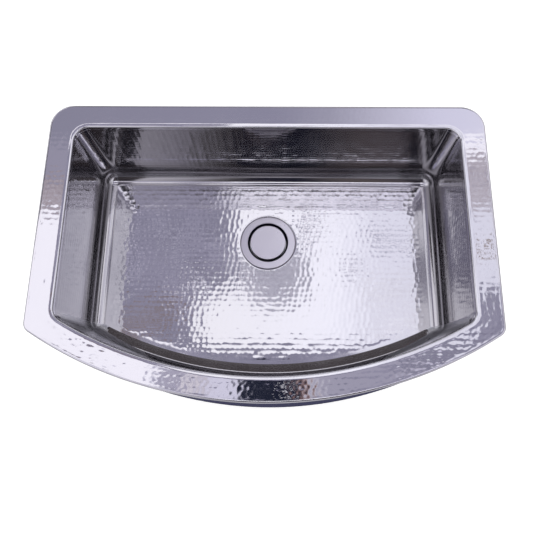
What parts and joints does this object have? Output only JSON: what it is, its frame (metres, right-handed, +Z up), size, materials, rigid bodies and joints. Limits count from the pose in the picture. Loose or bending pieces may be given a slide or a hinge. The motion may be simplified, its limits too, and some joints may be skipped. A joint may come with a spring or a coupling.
{
  "type": "apron front kitchen sink",
  "caption": "Hammered-metal farmhouse sink with a bowed apron front, a deep bowl and a basket-strainer drain with a lift-off cover cap.",
  "frame": {"origin": "the drain's axis, in the plane of the rim's turned-down edge, which rests on the worktop", "axes": "+Z up, +Y to the back of the sink, +X to its right-hand side as seen from the front"},
  "size_m": [0.838, 0.5589, 0.414],
  "materials": {
    "hammered_sheet": "polished",
    "plain_steel": "satin",
    "sound_pad": "matte",
    "drain_metal": "polished",
    "basket_steel": "satin",
    "nut_brass": "satin",
    "black_rubber": "matte",
    "white_plastic": "satin",
    "putty": "matte"
  },
  "bodies": {
    "sink": {"bowl": "hammered_sheet", "rim_deck": "hammered_sheet", "apron_front": "hammered_sheet", "apron_return_left": "hammered_sheet", "apron_return_right": "hammered_sheet", "apron_ties": "plain_steel", "pad_wall_left": "sound_pad", "pad_wall_right": "sound_pad", "pad_wall_back": "sound_pad", "pad_wall_front": "sound_pad", "pad_floor_left": "sound_pad", "pad_floor_right": "sound_pad", "strainer_body": "drain_metal", "putty_ring": "putty", "body_gasket": "black_rubber", "friction_washer": "white_plastic", "locknut": "nut_brass", "coupling_washer": "white_plastic", "coupling_nut": "nut_brass", "tailpiece": "drain_metal"},
    "basket": {"basket": "basket_steel", "basket_post": "basket_steel", "basket_seal": "black_rubber", "seal_plate": "plain_steel", "seal_nut": "plain_steel", "post_clip": "plain_steel"},
    "cover_cap": {"cover_cap": "drain_metal"}
  },
  "joints": [
    {"name": "basket_lift", "type": "slide", "parent": "sink", "child": "basket", "axis": [0, 0, 1], "range_m": [0, 0.32]},
    {"name": "cap_lift", "type": "slide", "parent": "basket", "child": "cover_cap", "axis": [0, 0, 1], "range_m": [0, 0.26]}
  ]
}
